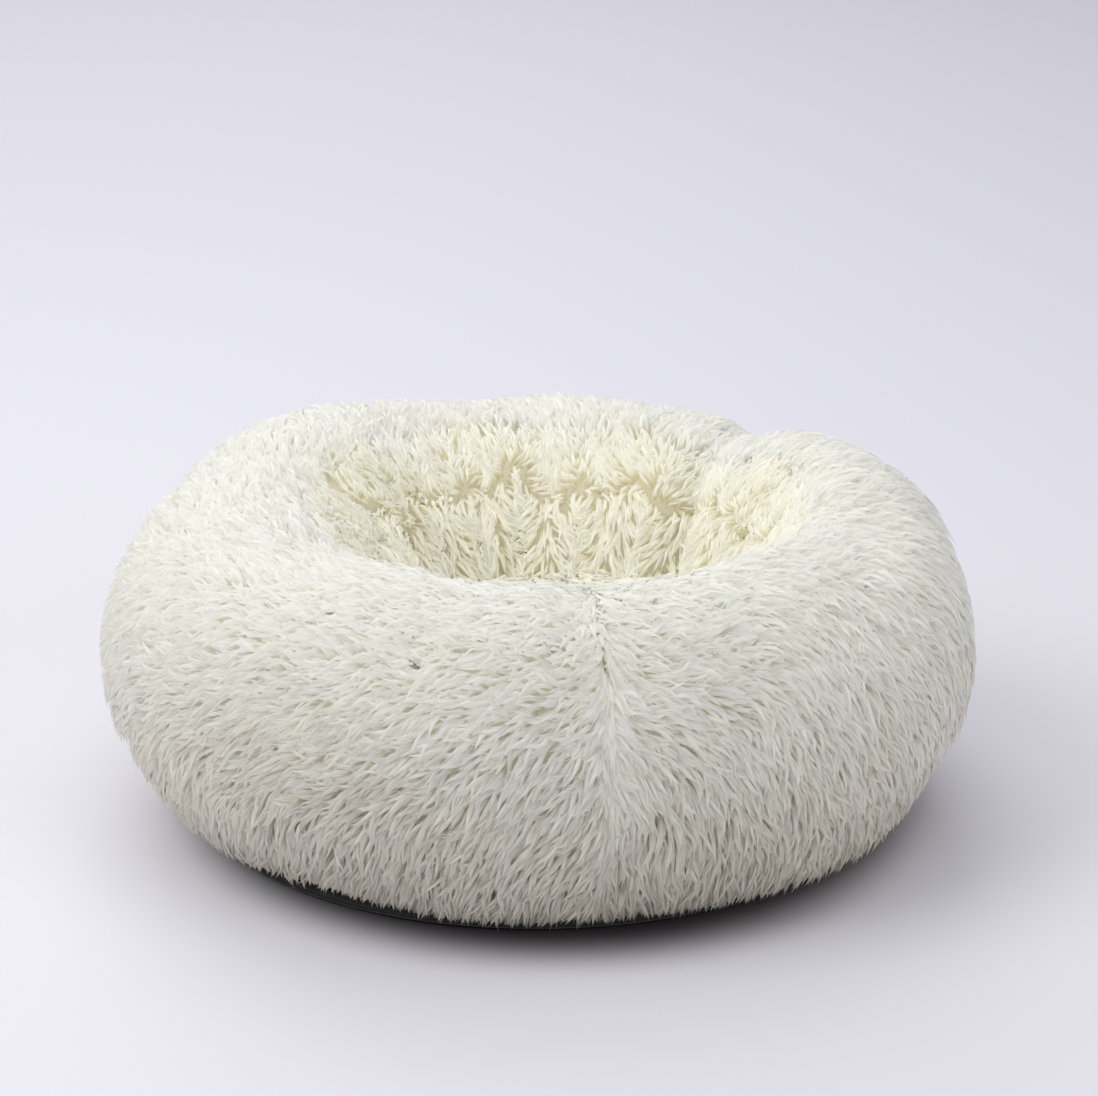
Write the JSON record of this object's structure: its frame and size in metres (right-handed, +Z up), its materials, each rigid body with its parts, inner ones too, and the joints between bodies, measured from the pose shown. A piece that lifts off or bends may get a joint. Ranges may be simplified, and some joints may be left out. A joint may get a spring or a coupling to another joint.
{
  "type": "pet cushion bed",
  "caption": "Round long-pile plush cushion bed for a pet: a thick stuffed ring around a low round nest, on a flat zipped base with grip dots.",
  "frame": {"origin": "on the floor, under the centre of the bed", "axes": "+Z up, -Y towards the front seam's side, +X to the right seen from the front"},
  "size_m": [0.492, 0.492, 0.181],
  "materials": {
    "long_plush": "long soft artificial fur, ivory white",
    "nest_plush": "long soft artificial fur, warm cream in the nest",
    "plush_backing": "knitted backing of the fur cloth, turned in and sewn",
    "lining_cloth": "thin white non-woven lining",
    "fibre_fill": "loose hollow polyester fibre",
    "base_cloth": "coated plain-weave cloth, dark grey",
    "binding_tape": "folded bias tape, dark grey",
    "grip_rubber": "soft grey grip dots",
    "label_satin": "blank white satin",
    "zip_tape": "woven zip tape, dark grey",
    "zip_nylon": "nylon teeth, dark grey",
    "zip_metal": "nickel-plated die casting"
  },
  "bodies": {
    "bed": {"rim_panel_front_left": "long_plush", "rim_panel_right": "long_plush", "rim_panel_back": "long_plush", "rim_seam_front": "plush_backing", "rim_seam_right": "plush_backing", "rim_seam_left": "plush_backing", "rim_liner": "lining_cloth", "rim_fill": "fibre_fill", "nest_panel": "nest_plush", "nest_seam_allowance": "plush_backing", "nest_pad_liner": "lining_cloth", "nest_pad_fill": "fibre_fill", "base_panel": "base_cloth", "base_edge_binding": "binding_tape", "grip_dots": "grip_rubber", "care_label": "label_satin", "zip_hem_front": "base_cloth", "zip_hem_back": "base_cloth", "zip_tape_front": "zip_tape", "zip_tape_back": "zip_tape", "zip_teeth_front": "zip_nylon", "zip_teeth_back": "zip_nylon", "zip_top_stops": "zip_metal", "zip_bottom_stop": "zip_metal"},
    "slider": {"zip_slider": "zip_metal", "zip_pull_pin": "zip_metal"},
    "pull": {"zip_pull": "zip_metal"}
  },
  "joints": [
    {"name": "zip_slide", "type": "slide", "parent": "bed", "child": "slider", "axis": [1, 0, 0], "range_m": [0, 0.281]},
    {"name": "pull_swing", "type": "hinge", "parent": "slider", "child": "pull", "pos_m": [-0.141, 0.06, 0.001], "axis": [0, 1, 0], "range_deg": [0, 150]}
  ]
}
